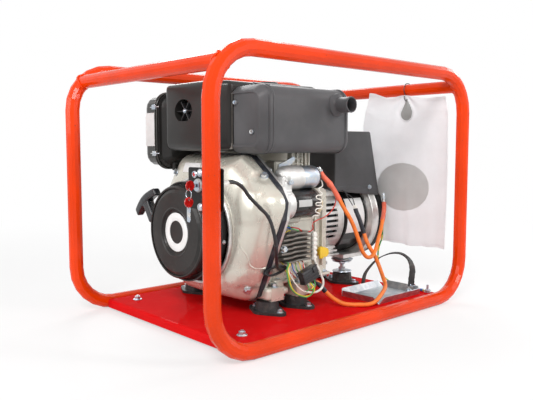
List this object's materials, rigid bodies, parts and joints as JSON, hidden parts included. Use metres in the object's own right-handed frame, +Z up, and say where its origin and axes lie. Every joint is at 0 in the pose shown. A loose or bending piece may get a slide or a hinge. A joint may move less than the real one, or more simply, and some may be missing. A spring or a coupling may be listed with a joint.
{
  "type": "engine driven welder",
  "caption": "Engine driven welder: an air-cooled engine with electric and recoil start drives an alternator, on rubber mounts inside a tubular carry frame with a base plate.",
  "frame": {"origin": "on the floor, under the middle of the carry frame", "axes": "+X along the shaft from the recoil starter towards the alternator, -Y towards the side with the starter motor and muffler, +Z up"},
  "size_m": [0.85, 0.572, 0.6],
  "materials": {
    "red_paint": "gloss",
    "plate_paint": "gloss",
    "rubber": "matte",
    "zinc": "zinc plated",
    "cast_aluminium": "as cast",
    "silver_paint": "silver lacquer",
    "black_paint": "satin",
    "black_plastic": "satin",
    "steel": "machined",
    "cast_iron": "as cast",
    "dark_sheet": "satin",
    "orange_cable": "satin",
    "yellow_plastic": "satin",
    "earth_wire_green": "satin",
    "red_plastic": "gloss",
    "white_film": "satin"
  },
  "bodies": {
    "set": {"air_cleaner_box": "black_plastic", "air_cleaner_can": "black_plastic", "air_cleaner_cap": "black_plastic", "alternator_front_bell": "cast_aluminium", "alternator_mount_1": "rubber", "alternator_mount_2": "rubber", "alternator_rear_bell": "cast_aluminium", "alternator_rear_cover": "black_paint", "back_plate": "cast_aluminium", "base_plate": "plate_paint", "battery_strap": "rubber", "battery_tray": "zinc", "control_box": "dark_sheet", "crankcase": "cast_aluminium", "cylinder": "cast_iron", "cylinder_head": "cast_aluminium", "document_bag": "white_film", "earth_stud": "zinc", "earth_wire": "earth_wire_green", "engine_mount_1": "rubber", "engine_mount_2": "rubber", "engine_mount_3": "rubber", "engine_mount_4": "rubber", "fan_housing": "silver_paint", "far_side_loop": "red_paint", "front_cross_bar": "red_paint", "front_cross_rail": "plate_paint", "fuel_tank": "black_paint", "housing_seal": "rubber", "injection_pump": "steel", "key_loom": "black_plastic", "key_panel": "black_paint", "key_switch": "steel", "muffler": "dark_sheet", "muffler_end_guard": "dark_sheet", "near_side_loop": "red_paint", "output_cable": "orange_cable", "piston": "cast_aluminium", "rear_cross_bar": "red_paint", "rear_cross_rail": "plate_paint", "recoil_cover": "black_paint", "regulator": "dark_sheet", "rocker_cover": "cast_aluminium", "solenoid": "zinc", "starter_cable": "orange_cable", "starter_motor": "black_paint", "starter_nose": "cast_aluminium", "stator": "black_paint"},
    "crank": {"crankshaft": "steel", "flywheel": "cast_iron", "alternator_rotor": "steel"},
    "reel": {"recoil_reel": "black_plastic"},
    "handle": {"recoil_handle": "black_plastic"},
    "key": {"ignition_key": "red_plastic"},
    "ring": {"key_ring": "steel"},
    "spare": {"spare_key": "red_plastic"},
    "cap": {"fuel_cap": "black_plastic"},
    "gauge": {"dipstick": "yellow_plastic"},
    "lever": {"speed_lever": "zinc"},
    "pinion": {"starter_pinion": "steel"}
  },
  "joints": [
    {"name": "crank_spin", "type": "hinge", "parent": "set", "child": "crank", "pos_m": [0, 0.045, 0.208], "axis": [1, 0, 0], "continuous": true},
    {"name": "reel_spin", "type": "hinge", "parent": "set", "child": "reel", "pos_m": [0, 0.045, 0.208], "axis": [1, 0, 0], "range_deg": [0, 433]},
    {"name": "rope_pull", "type": "slide", "parent": "set", "child": "handle", "axis": [0, 0.563, 0.8265], "range_m": [0, 0.66]},
    {"name": "key_turn", "type": "hinge", "parent": "set", "child": "key", "pos_m": [-0.3927, -0.21, 0.332], "axis": [1, 0, 0], "range_deg": [0, 60]},
    {"name": "ring_swing", "type": "hinge", "parent": "key", "child": "ring", "pos_m": [-0.4152, -0.21, 0.3262], "axis": [0, 1, 0], "range_deg": [-6, 20]},
    {"name": "spare_key_swing", "type": "hinge", "parent": "ring", "child": "spare", "pos_m": [-0.4152, -0.21, 0.3064], "axis": [0, 1, 0], "range_deg": [-6, 20]},
    {"name": "fuel_cap_turn", "type": "hinge", "parent": "set", "child": "cap", "pos_m": [0.06088, 0.102, 0.572], "axis": [0, 0, 1], "range_deg": [0, 90]},
    {"name": "dipstick_pull", "type": "slide", "parent": "set", "child": "gauge", "axis": [0, -1, 0], "range_m": [0, 0.1]},
    {"name": "speed_lever_turn", "type": "hinge", "parent": "set", "child": "lever", "pos_m": [-0.065, -0.0833, 0.352], "axis": [0, 1, 0], "range_deg": [-15, 20]},
    {"name": "pinion_slide", "type": "slide", "parent": "set", "child": "pinion", "axis": [-1, 0, 0], "range_m": [0, 0.01]}
  ],
  "couplings": [
    {"joint": "rope_pull", "follows": "reel_spin", "m_per_rad": 0.086}
  ]
}
